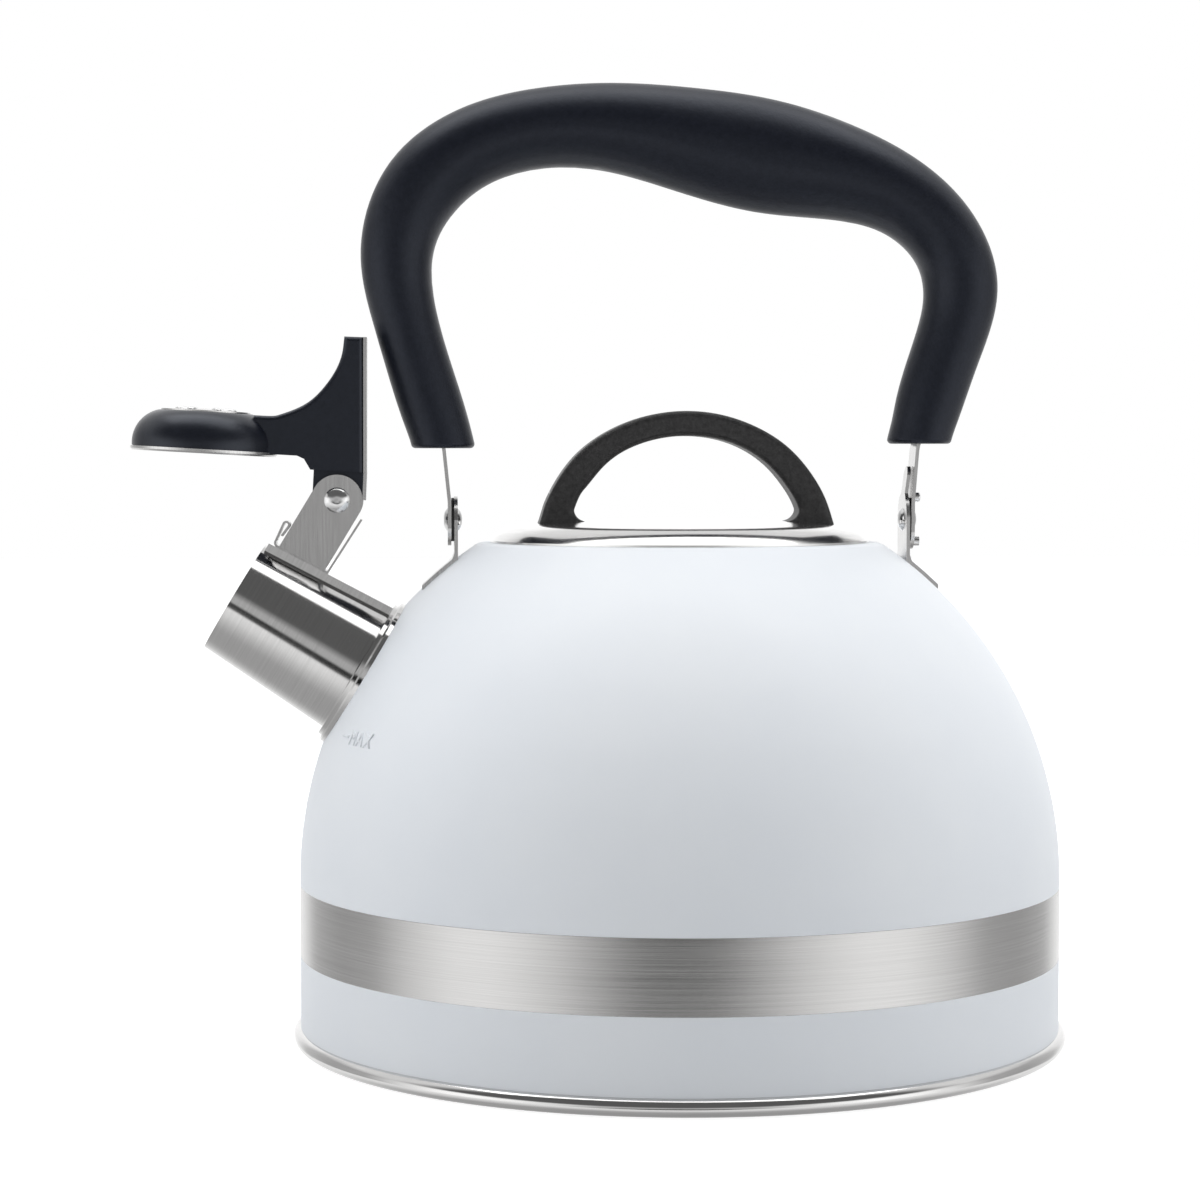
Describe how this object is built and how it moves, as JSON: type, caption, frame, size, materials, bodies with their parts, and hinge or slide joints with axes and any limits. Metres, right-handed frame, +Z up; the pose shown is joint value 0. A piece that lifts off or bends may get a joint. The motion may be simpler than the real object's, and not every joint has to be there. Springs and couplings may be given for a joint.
{
  "type": "stovetop whistling kettle",
  "caption": "Domed stovetop kettle with a bare steel band, short tube spout with a thumb-lever whistle flap, lift-off lid and folding bail handle.",
  "frame": {"origin": "centre of the flat underside of the base, on the hob", "axes": "+Z up along the vessel's axis; the spout points to -X; the bail handle stands in the XZ plane"},
  "size_m": [0.2663, 0.221, 0.273],
  "materials": {
    "white_coat": "matt powder coat on stainless sheet, with a bare brushed band low on the wall",
    "polished_steel": "mirror-polished stainless steel",
    "satin_steel": "satin stainless sheet",
    "rivet_steel": "bright domed rivets",
    "aluminium": "cast disc inside the base",
    "black_washer": "black nylon",
    "grip_plastic": "blue-black satin moulding",
    "flap_plastic": "black satin moulding",
    "lid_plastic": "charcoal moulding with a fine grain"
  },
  "bodies": {
    "kettle": {"body_shell": "white_coat", "bottom_pan": "polished_steel", "base_cap": "polished_steel", "heat_spreader_disc": "aluminium", "spout_tube": "polished_steel", "spout_collar": "polished_steel", "whistle_bracket": "satin_steel", "spring_strip": "satin_steel", "bracket_rivets": "rivet_steel", "flap_pin": "rivet_steel", "ear_left": "satin_steel", "ear_right": "satin_steel", "pivot_rivets": "rivet_steel", "pivot_washers": "black_washer"},
    "handle": {"handle_grip": "grip_plastic", "strap_left": "satin_steel", "strap_right": "satin_steel", "stop_studs": "rivet_steel"},
    "whistle_flap": {"flap_body": "flap_plastic", "lever_plate": "satin_steel", "lever_rivets": "rivet_steel", "whistle_base_plate": "satin_steel", "whistle_top_plate": "satin_steel"},
    "lid": {"lid_shell": "polished_steel", "lid_skirt": "satin_steel", "lid_handle": "lid_plastic", "lid_washers": "rivet_steel", "lid_screws": "rivet_steel"}
  },
  "joints": [
    {"name": "handle_fold", "type": "hinge", "parent": "kettle", "child": "handle", "pos_m": [0, 0, 0.1491], "axis": [1, 0, 0], "range_deg": [-90, 90]},
    {"name": "flap_hinge", "type": "hinge", "parent": "kettle", "child": "whistle_flap", "pos_m": [-0.09744, 0, 0.15474], "axis": [0, -1, 0], "range_deg": [0, 62]},
    {"name": "lid_lift", "type": "slide", "parent": "kettle", "child": "lid", "axis": [0, 0, 1], "range_m": [0, 0.05]}
  ]
}
